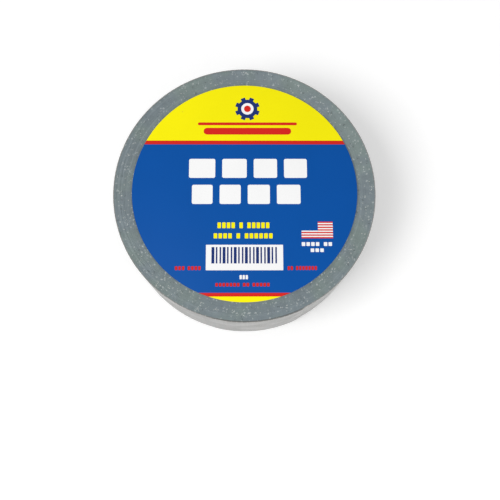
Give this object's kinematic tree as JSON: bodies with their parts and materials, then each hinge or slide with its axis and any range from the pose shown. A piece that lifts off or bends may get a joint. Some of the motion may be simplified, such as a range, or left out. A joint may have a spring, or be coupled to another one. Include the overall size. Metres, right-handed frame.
{
  "type": "duct tape roll",
  "caption": "Roll of silver-grey cloth duct tape on a paperboard core, with a round card label over one face and a loose end that peels away.",
  "frame": {"origin": "centre of the lower face of the roll, on the axis of the core", "axes": "+Z along the core's axis, from the bare face to the label; +Y is the top of the label's artwork"},
  "size_m": [0.1341, 0.1345, 0.0486],
  "materials": {
    "tape_film": "satin silver-grey polyethylene film with the cloth's weave pressed into it",
    "tape_scrim": "open cotton and polyester gauze",
    "tape_adhesive": "tacky grey natural rubber adhesive",
    "wound_edge": "cut edges of the wound layers, grey-green with white thread ends",
    "core_paper": "brown spiral-wound core paper",
    "label_glue": "clear tacky glue",
    "label_board": "recycled greyboard",
    "label_print": "coated paper printed in flat blue, yellow, red and white"
  },
  "bodies": {
    "roll": {"core_liner_ply": "core_paper", "core_inner_ply": "core_paper", "core_outer_ply": "core_paper", "core_cover_ply": "core_paper", "wound_tape": "wound_edge", "outer_turn_adhesive": "tape_adhesive", "outer_turn_scrim": "tape_scrim", "outer_turn_film": "tape_film"},
    "tape_end_1": {"tape_end_1_adhesive": "tape_adhesive", "tape_end_1_scrim": "tape_scrim", "tape_end_1_film": "tape_film"},
    "tape_end_2": {"tape_end_2_adhesive": "tape_adhesive", "tape_end_2_scrim": "tape_scrim", "tape_end_2_film": "tape_film"},
    "tape_end_3": {"tape_end_3_adhesive": "tape_adhesive", "tape_end_3_scrim": "tape_scrim", "tape_end_3_film": "tape_film"},
    "label": {"label_glue": "label_glue", "label_board": "label_board", "label_print": "label_print"}
  },
  "joints": [
    {"name": "label_lift", "type": "slide", "parent": "roll", "child": "label", "axis": [0, 0, 1], "range_m": [0, 0.06]},
    {"name": "tape_end_peel", "type": "hinge", "parent": "roll", "child": "tape_end_1", "pos_m": [-0.01776, -0.06477, 0.024], "axis": [0, 0, -1], "range_deg": [0, 40]},
    {"name": "tape_end_bend_2", "type": "hinge", "parent": "tape_end_1", "child": "tape_end_2", "pos_m": [-0.00176, -0.06725, 0.024], "axis": [0, 0, -1], "range_deg": [0, 40]},
    {"name": "tape_end_bend_3", "type": "hinge", "parent": "tape_end_2", "child": "tape_end_3", "pos_m": [0.01437, -0.06574, 0.024], "axis": [0, 0, -1], "range_deg": [0, 40]}
  ],
  "couplings": [
    {"joint": "tape_end_bend_2", "follows": "tape_end_peel", "ratio": 1},
    {"joint": "tape_end_bend_3", "follows": "tape_end_peel", "ratio": 1}
  ]
}
